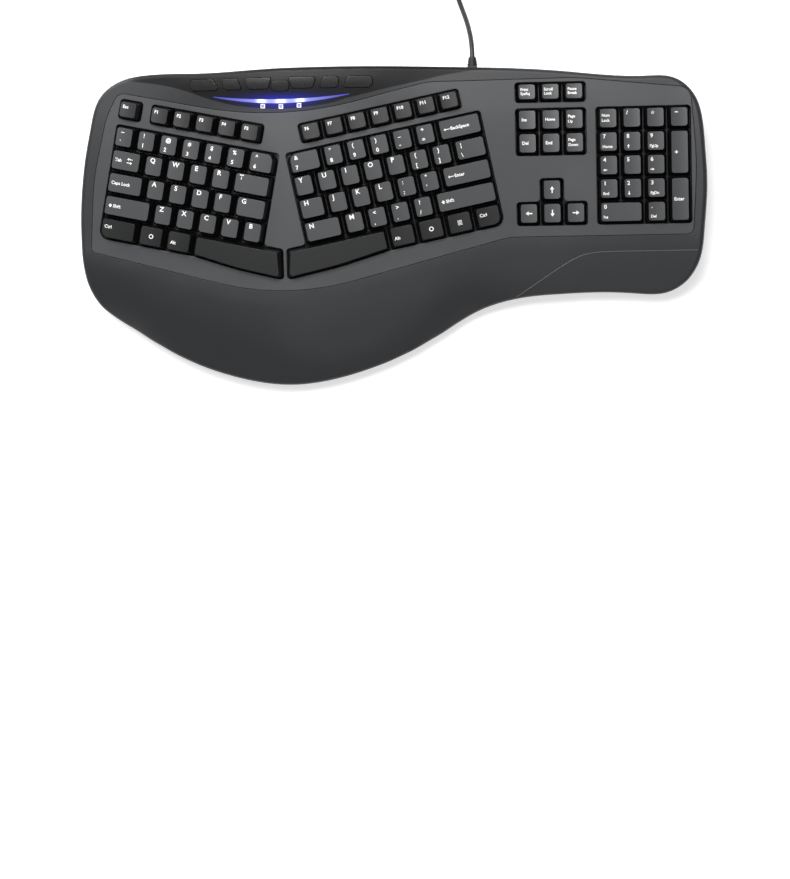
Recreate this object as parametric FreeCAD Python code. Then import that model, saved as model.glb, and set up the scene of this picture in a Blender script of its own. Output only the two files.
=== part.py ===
import FreeCAD, Part

import math
import os

V = FreeCAD.Vector

# Ergonomic split keyboard: a gull-wing key deck with a media strip behind it, a palm
# rest in front, flip-out feet at the rear and a wired USB lead. Millimetres.
# The case frame has X to the right, Y to the back and Z = 0 on the flat underside.
# Every solid leaves it through one placement that stands the keyboard on its feet.

# Keys
KEY_PITCH = 19.05          # one unit, centre to centre
CAP_GAP = 1.05             # between neighbouring skirts
CAP_TOP_W = 13.0           # finger area of a one-unit cap
CAP_TOP_D = 14.6
FUNCTION_CAP_D = 15.0      # skirt depth of the shorter function caps
FUNCTION_ROW = 1.19        # units behind the number row
FUNCTION_RISE = 1.5        # function caps stand this much taller
CAP_HEIGHT = 9.5
CAP_WALL = 1.3
CAP_CORNER = 1.2
CAP_TOP_CORNER = 2.0
CAP_LEAN = 0.5             # top set back from the skirt's middle
DISH = 0.5
KEY_TRAVEL = 3.5
STEM = 6.0                 # square plunger under each cap
STEM_CLEARANCE = 0.2
STEM_LENGTH = 17.0         # from the cap's top plane to the plunger's end

# Key blocks
SPLAY = 11.6               # each hand's rows turn this much from the X axis
TENT = 4.6                 # and fall outwards this much
SLOPE = 4.6                # and rise to the back this much
PAD_SLOPE = 1.8
SPLIT_X = -88.25           # middle line between the hands
HALF_GAP = 5.15            # from that line to each hand's inner edge, number row
INNER_Y = 52.0
INNER_Z = 56.6             # cap tops at the inner edge
PAD_X, PAD_Y, PAD_Z = 111.0, 85.2, 36.6     # cap top of the first navigation key
NUMPAD_COLUMN = 3.43       # units from the navigation block's first column
LEFT_UNITS = 7.25
RIGHT_UNITS = 8.5
LEFT_BAR_UNITS = 3.0
RIGHT_BAR_UNITS = 3.5
BAR_FRONT = 4.78           # units to the space bars' front inner corner
BRIDGE = 5.7               # deck left between the two space bar wells

# Case
WALL = 2.6
FLOOR = 2.6
DECK_DROP = 6.0            # deck surface below the cap tops
CROWN_R = 18.0             # rounding over the middle line
REAR_HUMP = 5.0
RIM_BAND = 5.5             # height of the top case's rim over the parting line
RIM_ROUND = 3.5
SEAM = 0.3                 # parting gap
PANEL_GAP = 0.35           # groove round the key deck panel
PANEL = 2.6
FRONT_Z = 14.5             # palm rest's front edge
BULGE = 13.0               # the walls tuck in this far at the underside
BULGE_Z = 36.0             # and stand upright above this height
WELL_MARGIN = 0.4
WELL_CORNER = 3.0

# Stack under the keys, each level below the cap tops
PLATE_TOP = 13.8
PLATE_T = 1.5
GUIDE_TOP = 9.8
GUIDE_WALL = 1.3
DOME_TOP = 17.1
DOME_SHEET = 22.0
SHEET_T = 0.8
MEMBRANE_T = 0.6
BACKING_T = 1.0
LAYER_GAP = 0.05
TRAY_WALL = 1.2

# Stand
STAND_TILT = 3.0
PAD_HEIGHT = 1.2
FRONT_PAD_Y = -112.0
FOOT_X = (-194.0, 213.0)
FOOT_Y, FOOT_Z = 86.0, 2.4
FOOT_W, FOOT_L, FOOT_T = 34.0, 24.0, 3.6
FOOT_TIP = 3.0
FOOT_ANGLE = 45.0
FOOT_CLEARANCE = 0.3
PIVOT_R, PIVOT_L, PIVOT_CLEARANCE = 1.0, 1.8, 0.05

# Media strip
MEDIA_Y = 119.0
MEDIA_D = 9.0
MEDIA_RISE = 1.2
MEDIA_TRAVEL = 0.8
MEDIA_GAP = 0.3

# Lead
LEAD_X, LEAD_Z = 67.0, 25.0
LEAD_R = 2.0


def smooth_max(a, b, k):
    return (a + b + math.hypot(a - b, k)) / 2


def smooth_min(a, b, k):
    return (a + b - math.hypot(a - b, k)) / 2


def ease(a, b, x):
    t = min(1.0, max(0.0, (x - a) / (b - a)))
    return t * t * (3 - 2 * t)


def save(name, shape):
    parts[name] = shape


parts = {}


# Frames of the key blocks: origin at the inner end of the number row for each hand,
# and at the first navigation key for the flat pad block.
def hand_frame(side):
    turn = (FreeCAD.Rotation(V(0, 0, 1), side * SPLAY)
            * FreeCAD.Rotation(V(0, 1, 0), side * TENT)
            * FreeCAD.Rotation(V(1, 0, 0), SLOPE))
    return FreeCAD.Placement(V(SPLIT_X + side * HALF_GAP, INNER_Y, INNER_Z), turn)


LEFT = hand_frame(-1)
RIGHT = hand_frame(1)
PAD = FreeCAD.Placement(V(PAD_X, PAD_Y, PAD_Z), FreeCAD.Rotation(V(1, 0, 0), PAD_SLOPE))


def block_x(block, u):
    """Column position in a block, from its inner edge or first column."""
    if block is LEFT:
        return (u - LEFT_UNITS + 0.5) * KEY_PITCH
    if block is RIGHT:
        return (u + RIGHT_UNITS - 6.5) * KEY_PITCH
    return u * KEY_PITCH


# The deck is one height field: two planes falling from the middle line, level under the
# pad block, a hump behind the function rows, and a palm rest rolling down to the front.
FALL_X = math.tan(math.radians(TENT)) * math.cos(math.radians(SPLAY)) \
    + math.tan(math.radians(SLOPE)) * math.sin(math.radians(SPLAY))
RISE_Y = math.tan(math.radians(SLOPE)) * math.cos(math.radians(SPLAY)) \
    - math.tan(math.radians(TENT)) * math.sin(math.radians(SPLAY))
REAR_LEVEL_Y = 92.0
PALM_LEVEL_Y = -9.7        # palm line in front of the pad block
PALM_DIP = 57.3            # and where its two straights would meet
PALM_SPLAY = 0.26
FACET_Y, FACET_FALL = -21.0, 0.33
FRONT_MAIN, FRONT_PAD = -131.0, -61.0


def palm_line(x):
    dip = -PALM_DIP + PALM_SPLAY * math.hypot(x - SPLIT_X, 30)
    return smooth_min(dip, PALM_LEVEL_Y, 3)


def front_line(x):
    """Where the palm rest reaches its front height."""
    bowl = FRONT_MAIN + 0.0031 * (x - SPLIT_X) ** 2
    return smooth_min(bowl, FRONT_PAD, 14)


def key_deck(x, y):
    back = smooth_min(y, REAR_LEVEL_Y, 10)
    hands = INNER_Z - DECK_DROP - FALL_X * math.hypot(x - SPLIT_X, CROWN_R) \
        + RISE_Y * (back - INNER_Y)
    pad = PAD_Z - DECK_DROP + math.tan(math.radians(PAD_SLOPE)) * (back - PAD_Y)
    hump = REAR_HUMP * math.exp(-((x - SPLIT_X) / 100) ** 4) * ease(93, 124, y)
    return smooth_max(hands, pad, 3) + hump


def height(x, y):
    edge = palm_line(x)
    if y >= edge:
        return key_deck(x, y) + 2.5 * ease(240, 256, x)
    run = min(1.3, (edge - y) / (edge - front_line(x)))
    top = key_deck(x, edge) + 2.5 * ease(240, 256, x) * (1 - ease(0, 1, run))
    roll = top - (top - FRONT_Z) * run ** 1.8
    facet = top - FACET_FALL * max(0, FACET_Y - y) + 0.06 * max(0, 156 - x)
    return smooth_min(roll, facet, 1.2) + 0.3


GRID_X = [-285 + 19 * i for i in range(31)]
GRID_Y = [-150 + 12 * i for i in range(26)]
field = Part.BSplineSurface()
field.interpolate([[V(x, y, height(x, y)) for y in GRID_Y] for x in GRID_X])
FIELD = field.toShape()


def above(offset):
    """Everything over the height field moved by an offset."""
    return FIELD.translated(V(0, 0, offset)).extrude(V(0, 0, 120))


def below(offset):
    return FIELD.translated(V(0, 0, offset)).extrude(V(0, 0, -120))


# Plan outline: a nearly straight back, short ends and the palm rest's deep bulge.
OUTLINE = [(-88, 131.4), (-20, 131.8), (60, 130), (140, 126), (205, 120.8), (236, 116.5),
           (249, 101), (254.8, 70), (256.8, 35), (254, -10), (247.5, -42), (230, -60.5),
           (190, -62.5), (140, -62), (92, -68), (50, -89), (5, -112), (-40, -127),
           (-88, -134), (-135, -127), (-180, -111), (-222, -87), (-250, -65), (-260, -25),
           (-260, 20), (-254, 66), (-246, 99), (-237, 117), (-220, 125.8), (-160, 129)]
outline = Part.BSplineCurve()
outline.interpolate([V(x, y, 0) for x, y in OUTLINE], PeriodicFlag=True)
OUTLINE_STEPS = 60


def ring(inset, z):
    """The outline moved inwards, as a closed curve at one height."""
    first, last = outline.FirstParameter, outline.LastParameter
    points = []
    for i in range(OUTLINE_STEPS):
        t = first + (last - first) * i / OUTLINE_STEPS
        tangent = outline.tangent(t)[0]
        points.append(outline.value(t) + V(tangent.y, -tangent.x, 0) * inset + V(0, 0, z))
    curve = Part.BSplineCurve()
    curve.interpolate(points, PeriodicFlag=True)
    return Part.Wire(curve.toShape())


def tuck(z):
    return BULGE * max(0.0, 1 - z / BULGE_Z) ** 2.2


def tub(extra, floor):
    """A solid with the case's bulging walls, moved inwards by a wall."""
    levels = [floor, 6, 13, 22, 36, 52, 68]
    return Part.makeLoft([ring(tuck(z) + extra, z) for z in levels], True, False)


def rounded(points, z):
    """Closed wire through corners (x, y, radius)."""
    edges, ends = [], []
    count = len(points)
    for i, (x, y, r) in enumerate(points):
        here = V(x, y, z)
        before = V(*points[i - 1][:2], z) - here
        after = V(*points[(i + 1) % count][:2], z) - here
        before.normalize()
        after.normalize()
        half = before.getAngle(after) / 2
        reach = r / math.tan(half)
        middle = (before + after).normalize() * (r / math.sin(half) - r)
        ends.append((here + before * reach, here + middle, here + after * reach))
    for i, (start, middle, stop) in enumerate(ends):
        edges.append(Part.Arc(start, middle, stop).toShape())
        edges.append(Part.makeLine(stop, ends[(i + 1) % count][0]))
    return Part.Wire(edges)


def rectangle(x0, x1, y0, y1, r):
    return [(x0, y0, r), (x1, y0, r), (x1, y1, r), (x0, y1, r)]


def prism(wire, depth):
    return Part.Face(wire).extrude(V(0, 0, depth))


def box(x0, x1, y0, y1, z0, z1):
    return Part.makeBox(x1 - x0, y1 - y0, z1 - z0, V(x0, y0, z0))


def rod(x, y, z0, z1, r):
    return Part.makeCylinder(r, z1 - z0, V(x, y, z0))


# Caps
def plunger(x, y):
    half = STEM / 2
    return box(x - half, x + half, y - half, y + half, -STEM_LENGTH, -CAP_WALL)


def cap(units, rise=0.0, depth_units=1.0, depth=None, soft=None):
    """A dished, hollow cap with its plunger; the finger area's plane is at Z = rise."""
    w = units * KEY_PITCH - CAP_GAP
    d = depth or depth_units * KEY_PITCH - CAP_GAP
    side, front = (KEY_PITCH - CAP_GAP - CAP_TOP_W) / 2, (KEY_PITCH - CAP_GAP - CAP_TOP_D) / 2
    tw, td = w / 2 - side, d / 2 - front
    skirt = rectangle(-w / 2, w / 2, -d / 2, d / 2, CAP_CORNER)
    top = rectangle(-tw, tw, -td + CAP_LEAN, td + CAP_LEAN, CAP_TOP_CORNER)
    if soft:
        index, radius = soft
        skirt[index] = skirt[index][:2] + (radius,)
        top[index] = top[index][:2] + (radius - 1.5,)
    body = Part.makeLoft([rounded(skirt, -CAP_HEIGHT), rounded(top, rise)], True, True)
    inner = [[(x - math.copysign(CAP_WALL, x), y - math.copysign(CAP_WALL, y - mid), 0.6)
              for x, y, r in corners] for corners, mid in ((skirt, 0), (top, CAP_LEAN))]
    hollow = Part.makeLoft([rounded(inner[0], -CAP_HEIGHT - 0.01),
                            rounded(inner[1], rise - CAP_WALL - DISH)], True, True)
    radius = (tw ** 2 + DISH ** 2) / (2 * DISH)
    dish = Part.makeCylinder(radius, 4 * d, V(0, -2 * d, rise + radius - DISH), V(0, 1, 0))
    half = STEM / 2
    stem = box(-half, half, -half, half, -STEM_LENGTH, rise - CAP_WALL - DISH + 0.2)
    return body.cut(hollow).cut(dish).fuse(stem).removeSplitter()


def bar_outline(side, units, inset):
    """A space bar's cell: its inner end runs square across the case."""
    lean = math.tan(math.radians(SPLAY))
    def end(y):
        shift = HALF_GAP - BRIDGE / 2
        return -side * (shift / math.cos(math.radians(SPLAY)) - y * lean)
    rear, front, tip = -3.5 * KEY_PITCH, -4.5 * KEY_PITCH, -BAR_FRONT * KEY_PITCH
    outer = side * units * KEY_PITCH
    bend = (outer + end(tip)) / 2
    return [(outer - side * inset, rear - inset, 1.5),
            (end(rear) + side * inset, rear - inset, 1.5),
            (end(tip) + side * inset, tip + inset, 2.5),
            (bend, (front + tip) / 2 - 1.6 + inset, 260),
            (outer - side * inset, front + inset, 1.5)]


def bar(side, units):
    skirt = bar_outline(side, units, CAP_GAP / 2)
    top = bar_outline(side, units, CAP_GAP / 2 + 2.2)
    inner = bar_outline(side, units, CAP_GAP / 2 + CAP_WALL)
    inner_top = bar_outline(side, units, CAP_GAP / 2 + 2.2 + CAP_WALL)
    body = Part.makeLoft([rounded(skirt, -CAP_HEIGHT), rounded(top, 0)], True, True)
    hollow = Part.makeLoft([rounded(inner, -CAP_HEIGHT - 0.01),
                            rounded(inner_top, -CAP_WALL - DISH)], True, True)
    x, y = bar_stem(side, units)
    return body.cut(hollow).fuse(plunger(x, y)).removeSplitter()


def bar_stem(side, units):
    return side * (units / 2 - 0.45) * KEY_PITCH, -4.05 * KEY_PITCH


# Rows of caps: block, units in front of the number row, (column, width) of each cap.
SHORT = -FUNCTION_ROW
ROWS = {
    "key_escape": (LEFT, SHORT, [(0, 1)]),
    "keys_f1_f5": (LEFT, SHORT, [(1.42 + i, 1) for i in range(5)]),
    "keys_number_left": (LEFT, 0, [(i, 1) for i in range(6)] + [(6.125, 1.25, (2, 7))]),
    "key_tab": (LEFT, 1, [(0.25, 1.5)]),
    "keys_q_to_t": (LEFT, 1, [(1.5 + i, 1) for i in range(4)] + [(5.875, 1.75)]),
    "key_caps_lock": (LEFT, 2, [(0.375, 1.75)]),
    "keys_a_to_g": (LEFT, 2, [(1.75 + i, 1) for i in range(4)] + [(6.0, 1.5)]),
    "key_shift_left": (LEFT, 3, [(0.625, 2.25)]),
    "keys_z_to_b": (LEFT, 3, [(2.25 + i, 1) for i in range(5)]),
    "keys_ctrl_to_alt_left": (LEFT, 4, [(0.375, 1.75, (0, 7)), (1.875, 1.25), (3.125, 1.25)]),
    "keys_f6_f12": (RIGHT, SHORT, [(-0.72 + i, 1) for i in range(7)]),
    "keys_number_right": (RIGHT, 0, [(-1.25, 1.5, (3, 7))] + [(i, 1) for i in range(5)]),
    "key_backspace": (RIGHT, 0, [(5.5, 2)]),
    "keys_y_to_backslash": (RIGHT, 1, [(-1.5 + i, 1) for i in range(7)] + [(5.75, 1.5)]),
    "keys_h_to_quote": (RIGHT, 2, [(-1.375, 1.25)] + [(-0.25 + i, 1) for i in range(5)]),
    "key_enter": (RIGHT, 2, [(5.375, 2.25)]),
    "keys_n_to_slash": (RIGHT, 3, [(-1.125, 1.75)] + [(0.25 + i, 1) for i in range(4)]),
    "key_shift_right": (RIGHT, 3, [(5.125, 2.75)]),
    "keys_alt_to_ctrl_right": (RIGHT, 4, [(2.125 + 1.25 * i, 1.25) for i in range(3)]
                               + [(5.875, 1.25, (1, 7))]),
    "keys_print_to_pause": (PAD, SHORT, [(i, 1) for i in range(3)]),
    "keys_navigation": (PAD, 0, [(i, 1, None, row) for row in (0, 1) for i in range(3)]),
    "keys_arrows": (PAD, 4, [(1, 1, None, -1)] + [(i, 1) for i in range(3)]),
    "keys_numpad_top": (PAD, 0, [(NUMPAD_COLUMN + i, 1) for i in range(4)]),
    "keys_numpad_digits": (PAD, 1, [(NUMPAD_COLUMN + i, 1, None, row)
                                    for row in range(3) for i in range(3)]),
    "key_numpad_zero": (PAD, 4, [(NUMPAD_COLUMN + 0.5, 2)]),
    "key_numpad_point": (PAD, 4, [(NUMPAD_COLUMN + 2, 1)]),
}
TALL = {"key_numpad_plus": 1.5, "key_numpad_enter": 3.5}
BARS = {"key_space_left": (-1, LEFT, LEFT_BAR_UNITS),
        "key_space_right": (1, RIGHT, RIGHT_BAR_UNITS)}

stems = {id(LEFT): [], id(RIGHT): [], id(PAD): []}
shapes = {}
for name, (block, row, caps) in ROWS.items():
    solids = []
    for column, units, *extra in caps:
        soft = extra[0] if extra else None
        line = row + (extra[1] if len(extra) > 1 else 0)
        short = row == SHORT
        kind = (units, short, soft)
        if kind not in shapes:
            shapes[kind] = cap(units, FUNCTION_RISE if short else 0,
                               depth=FUNCTION_CAP_D if short else None, soft=soft)
        x, y = block_x(block, column), -line * KEY_PITCH
        stems[id(block)].append((x, y))
        solids.append(shapes[kind].translated(V(x, y, 0)))
    shape = Part.makeCompound(solids) if len(solids) > 1 else solids[0]
    save(name, shape.transformed(block.toMatrix()))
for name, row in TALL.items():
    x, y = block_x(PAD, NUMPAD_COLUMN + 3), -row * KEY_PITCH
    stems[id(PAD)].append((x, y))
    save(name, cap(1, depth_units=2).translated(V(x, y, 0)).transformed(PAD.toMatrix()))
for name, (side, block, units) in BARS.items():
    stems[id(block)].append(bar_stem(side, units))
    save(name, bar(side, units).transformed(block.toMatrix()))


# Wells: the openings in the key deck, as closed outlines in each block's own frame.
def hand_well(side, units, bar_units, grow):
    """Main block with its space bar; grow moves the outline outwards."""
    outer = side * (units * KEY_PITCH + grow)
    rear = 0.5 * KEY_PITCH + grow
    cell = bar_outline(side, bar_units, -grow)
    front = cell[4][1]
    r = WELL_CORNER
    return [(outer, rear, r), (-side * grow, rear, r), (-side * grow, cell[1][1], r),
            (cell[1][0], cell[1][1], r), (cell[2][0], cell[2][1], r),
            (cell[3][0], cell[3][1], 260), (side * bar_units * KEY_PITCH, front, r),
            (outer, front, 8)]


def row_well(block, first, last, grow):
    """Short row behind the number row, from one column's edge to another's."""
    x0, x1 = block_x(block, first) - grow, block_x(block, last) + grow
    middle, half = FUNCTION_ROW * KEY_PITCH, (FUNCTION_CAP_D + CAP_GAP) / 2 + grow
    return rectangle(x0, x1, middle - half, middle + half, WELL_CORNER)


def pad_well(first, last, top, bottom, grow):
    x0, x1 = first * KEY_PITCH - grow, last * KEY_PITCH + grow
    y1, y0 = -(top - 0.5) * KEY_PITCH + grow, -(bottom + 0.5) * KEY_PITCH - grow
    return rectangle(x0, x1, y0, y1, WELL_CORNER)


def arrow_well(grow):
    p, g, r = KEY_PITCH, grow, WELL_CORNER
    return [(-0.5 * p - g, -4.5 * p - g, r), (2.5 * p + g, -4.5 * p - g, r),
            (2.5 * p + g, -3.5 * p + g, r), (1.5 * p + g, -3.5 * p + g, r),
            (1.5 * p + g, -2.5 * p + g, r), (0.5 * p - g, -2.5 * p + g, r),
            (0.5 * p - g, -3.5 * p + g, r), (-0.5 * p - g, -3.5 * p + g, r)]


def wells(block, grow):
    if block is LEFT:
        return [hand_well(-1, LEFT_UNITS, LEFT_BAR_UNITS, grow),
                row_well(LEFT, -0.5, 0.5, grow), row_well(LEFT, 0.92, 5.92, grow)]
    if block is RIGHT:
        return [hand_well(1, RIGHT_UNITS, RIGHT_BAR_UNITS, grow),
                row_well(RIGHT, -1.22, 5.78, grow)]
    n = NUMPAD_COLUMN
    return [row_well(PAD, -0.5, 2.5, grow), pad_well(-0.5, 2.5, 0, 1, grow),
            arrow_well(grow), pad_well(n - 0.5, n + 3.5, 0, 4, grow)]


def plan_face(block, grow):
    """One outline under all the wells of a block, for the layers below the caps."""
    p, g = KEY_PITCH, grow
    back = FUNCTION_ROW * p + (FUNCTION_CAP_D + CAP_GAP) / 2
    if block is PAD:
        right = NUMPAD_COLUMN + 3.5
        areas = [rectangle(-0.5 * p, right * p, -4.5 * p, 0.5 * p, 2),
                 rectangle(-0.5 * p, 2.5 * p, 0, back, 2)]
    else:
        side, units, first, last, bar_units = \
            (-1, LEFT_UNITS, -0.5, 5.92, LEFT_BAR_UNITS) if block is LEFT \
            else (1, RIGHT_UNITS, -1.22, 5.78, RIGHT_BAR_UNITS)
        ends = sorted((0, side * units * p))
        areas = [rectangle(*ends, -4.5 * p, 0.5 * p, 2),
                 rectangle(block_x(block, first), block_x(block, last), 0, back, 2),
                 bar_outline(side, bar_units, 0)[::side]]
    faces = [Part.Face(rounded(a, 0)) for a in areas]
    joined = faces[0].fuse(faces[1:]).removeSplitter()
    return Part.Face(joined.Faces[0].OuterWire.makeOffset2D(g))


def layer(block, grow, top, bottom):
    """Flat slab of a block's plan between two depths below the cap tops."""
    slab = plan_face(block, grow).extrude(V(0, 0, top - bottom))
    return slab.translated(V(0, 0, -top))


well_cutters = Part.makeCompound(
    [prism(rounded(w, -16), 30).transformed(block.toMatrix())
     for block in (LEFT, RIGHT, PAD) for w in wells(block, WELL_MARGIN)])

# Case: one outer form, parted a little below the rim into a top case and a tub.
def skin(outer, top, bottom, holes=()):
    """A sheet between two offsets of the deck surface, inside a prism's outline."""
    face = FIELD.common(outer)
    for hole in holes:
        face = face.cut(hole)
    return face.Faces[0].translated(V(0, 0, top)).extrude(V(0, 0, bottom - top))


shell = tub(0, 0)
slab = shell.common(below(0)).common(above(-RIM_BAND)).Solids[0]
rim = max((e for e in slab.Edges if e.isClosed()), key=lambda e: e.BoundBox.ZMax)
top_case = slab.makeFillet(RIM_ROUND, [rim])
bottom_case = shell.common(below(-RIM_BAND - SEAM)).cut(tub(WALL, FLOOR))

# Key deck panel: its front edge is the palm line and its back edge dips round the
# media strip.
DECK = [(SPLIT_X, -PALM_DIP, 225), (94.8, PALM_LEVEL_Y, 60), (244.5, PALM_LEVEL_Y, 6),
        (248, 50, 300), (243.5, 110, 11), (150, 119.8, 150), (30, 118.2, 55),
        (SPLIT_X, 88.3, 290), (-224.5, 115.5, 8), (-235, 95, 60), (-247.5, 45, 200),
        (-251.5, -15.5, 5)]
deck_wire = rounded(DECK, -30)


def deck_prism(grow):
    return prism(deck_wire.makeOffset2D(grow) if grow else deck_wire, 130)


deck_panel = deck_prism(-PANEL_GAP).common(below(0)).common(above(-PANEL)).cut(well_cutters)
deck_panel = deck_panel.Solids[0]
top_case = top_case.cut(deck_prism(0))

# Screws from below: most go up into posts of the top case, some into the deck panel's.
CASE_SCREWS = [(236, -28), (130, -48), (45, -74), (-22, -104), (-150, -103), (-207, -70),
               (-205, 117.5), (8, 118)]
DECK_SCREWS = [(84, 113), (172, 110), (228, 102), (SPLIT_X, 0)]
SCREWS = CASE_SCREWS + DECK_SCREWS
SEAT_Z, BOSS_TOP = 6.5, 9.5
BOSS_R, POST_R = 4.8, 3.4
HEAD_R, HEAD_T, SHANK_R, SHANK_L = 2.7, 2.1, 1.25, 6.6
THREAD_CLEARANCE = 0.05
COUNTERBORE = 0.4

within = tub(WALL + SEAM, FLOOR)
pilots = [rod(x, y, BOSS_TOP, SEAT_Z + SHANK_L + 0.6, SHANK_R + THREAD_CLEARANCE)
          for x, y in SCREWS]
roof = below(-PANEL / 2)


def post(x, y):
    return rod(x, y, BOSS_TOP + SEAM, 60, POST_R).common(within).common(roof)


# Media strip: corners (x from the middle line, y, radius) of the left-hand buttons.
y0, y1 = MEDIA_Y - MEDIA_D / 2, MEDIA_Y + MEDIA_D / 2
MEDIA_LEFT = [
    [(-74.5, y0, 4), (-50.8, y0, 1.6), (-55.3, y1, 2.2), (-74.5, y1, 3)],
    [(-46.8, y0, 3.4), (-31.6, y0, 1.6), (-35.4, y1, 2.2), (-47.6, y1, 2.6)],
    [(-26.4, y0, 3.6), (-9.9, y0, 1.8), (-6.9, y1, 1.4), (-29.2, y1, 2.2)],
]
MEDIA_DOME = [(-7.4, y0 - 2, 4.1), (7.4, y0 - 2, 4.1), (7.4, y1 - 2.6, 4.1),
              (-7.4, y1 - 2.6, 4.1)]
FLANGE, FLANGE_T, FLANGE_PLAY = 0.9, 1.4, 0.6
MAT_T, STRIP_T = 1.8, 1.0
mat_top = RIM_BAND + FLANGE_PLAY + FLANGE_T + MEDIA_TRAVEL + LAYER_GAP
strip_top = mat_top + MAT_T + LAYER_GAP
STRIP_HALF, STRIP_FRONT, STRIP_BACK = 80.6, 7.8, 6.5
STAKES = [(SPLIT_X - 78.2, MEDIA_Y), (SPLIT_X, MEDIA_Y + 5.3), (SPLIT_X + 78.2, MEDIA_Y)]
STAKE_R, SHOULDER_R, STAKE_HEAD_R = 1.2, 1.9, 1.9


def mirrored(corners):
    return [(-x, y, r) for x, y, r in reversed(corners)]


def media_prism(corners, grow):
    wire = rounded([(SPLIT_X + x, y, r) for x, y, r in corners], 10)
    return prism(wire.makeOffset2D(grow) if grow else wire, 70)


media_plans = MEDIA_LEFT + [MEDIA_DOME] + [mirrored(c) for c in reversed(MEDIA_LEFT)]
buttons = []
for corners in media_plans:
    flange_top = -RIM_BAND - FLANGE_PLAY
    neck = skin(media_prism(corners, 0), MEDIA_RISE, flange_top - FLANGE_T / 2)
    flange = skin(media_prism(corners, FLANGE), flange_top, flange_top - FLANGE_T)
    buttons.append(neck.fuse(flange).removeSplitter())
save("media_buttons", Part.makeCompound(buttons))
strip = prism(rounded(rectangle(SPLIT_X - STRIP_HALF, SPLIT_X + STRIP_HALF,
                                MEDIA_Y - STRIP_FRONT, MEDIA_Y + STRIP_BACK, 2), 10), 70)
stake_holes = [rod(x, y, 10, 80, STAKE_R + 0.3) for x, y in STAKES]
save("media_mat", skin(strip, -mat_top, -mat_top - MAT_T, stake_holes))
save("media_board", skin(strip, -strip_top, -strip_top - STRIP_T, stake_holes))
stakes = []
for x, y in STAKES:
    z = height(x, y)
    stakes += [rod(x, y, z - mat_top + 0.35, z - RIM_BAND / 2, SHOULDER_R),
               rod(x, y, z - strip_top - STRIP_T - 0.6, z - mat_top + 0.5, STAKE_R),
               rod(x, y, z - strip_top - STRIP_T - 1.3, z - strip_top - STRIP_T - 0.45,
                   STAKE_HEAD_R)]


# Light bar: a crescent between the media buttons and the deck panel, with narrow blunt
# tips, over a small board that also lights the three indicators.
LIGHT_HALF, LIGHT_TIP_Y, LIGHT_TIP_W = 55.5, MEDIA_Y - 9.6, 0.4
LIGHT_FRONT_SAG, LIGHT_REAR_SAG = 6.4, 3.4


def crescent(clearance):
    left, right = (SPLIT_X + side * (LIGHT_HALF + clearance) for side in (-1, 1))
    half_tip = LIGHT_TIP_W / 2 + clearance
    front, rear = LIGHT_TIP_Y - half_tip, LIGHT_TIP_Y + half_tip
    dips = LIGHT_TIP_Y - LIGHT_FRONT_SAG - clearance, LIGHT_TIP_Y - LIGHT_REAR_SAG + clearance
    return prism(Part.Wire([
        Part.Arc(V(left, front, 20), V(SPLIT_X, dips[0], 20), V(right, front, 20)).toShape(),
        Part.makeLine(V(right, front, 20), V(right, rear, 20)),
        Part.Arc(V(right, rear, 20), V(SPLIT_X, dips[1], 20), V(left, rear, 20)).toShape(),
        Part.makeLine(V(left, rear, 20), V(left, front, 20))]), 50)


LIGHT_DEPTH = 6.75
LENS_R, LENS_CLEARANCE = 1.3, 0.12
LENSES = [(SPLIT_X + dx, MEDIA_Y - dy) for dx, dy in ((-14.8, 18.4), (0, 19.1), (14.8, 18.4))]
LIGHT_BOARD = (SPLIT_X - 24, SPLIT_X + 24, MEDIA_Y - 21, MEDIA_Y - 8.5)
BOARD_T = 1.6
LIGHT_BOARD_Z = 41.4
save("light_bar", skin(crescent(0), 0.25, -LIGHT_DEPTH))
save("indicator_lenses", Part.makeCompound(
    [skin(rod(x, y, 10, 80, LENS_R), 0.15, -LIGHT_DEPTH) for x, y in LENSES]))
lamps = [box(SPLIT_X + dx - 1.5, SPLIT_X + dx + 1.5, MEDIA_Y - dy - 1.5, MEDIA_Y - dy + 1.5,
             LIGHT_BOARD_Z + BOARD_T - 0.1, LIGHT_BOARD_Z + BOARD_T + 0.7)
         for dx, dy in ((-18, 14), (0, 14.3), (18, 14), (-12.5, 18.9), (0, 19.1), (12.5, 18.9))]
light_board = box(*LIGHT_BOARD, LIGHT_BOARD_Z, LIGHT_BOARD_Z + BOARD_T)
save("light_board", light_board.fuse(lamps).removeSplitter())
light_posts = [rod(SPLIT_X + dx, MEDIA_Y - 18.9, LIGHT_BOARD_Z + BOARD_T + LAYER_GAP, 60,
                   1.6).common(roof) for dx in (-21, 21)]

top_case = top_case.fuse([post(x, y) for x, y in CASE_SCREWS] + stakes + light_posts)
openings = [media_prism(c, MEDIA_GAP).cut(below(-RIM_BAND - FLANGE_PLAY / 2))
            for c in media_plans]
top_case = top_case.cut(openings + [crescent(LENS_CLEARANCE)] + pilots
                        + [rod(x, y, 10, 80, LENS_R + LENS_CLEARANCE) for x, y in LENSES])
save("top_case", top_case)
deck_panel = deck_panel.fuse([post(x, y) for x, y in DECK_SCREWS]).cut(pilots)
save("deck_panel", deck_panel)
save("case_screws", Part.makeCompound(
    [rod(x, y, SEAT_Z - HEAD_T, SEAT_Z, HEAD_R).fuse(
        rod(x, y, SEAT_Z, SEAT_Z + SHANK_L, SHANK_R)).removeSplitter() for x, y in SCREWS]))


# Key stack: a moulded plate with a guide for each plunger, a rubber dome sheet, the
# contact membrane and a steel backing plate, one of each under every block.
def block_space(block):
    """Each hand's stack stays on its own side of the middle line."""
    if block is PAD:
        return None
    side = -1 if block is LEFT else 1
    near, far = SPLIT_X + side * STACK_GAP / 2, SPLIT_X + side * 300
    return box(min(near, far), max(near, far), -200, 200, -50, 100)


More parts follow.
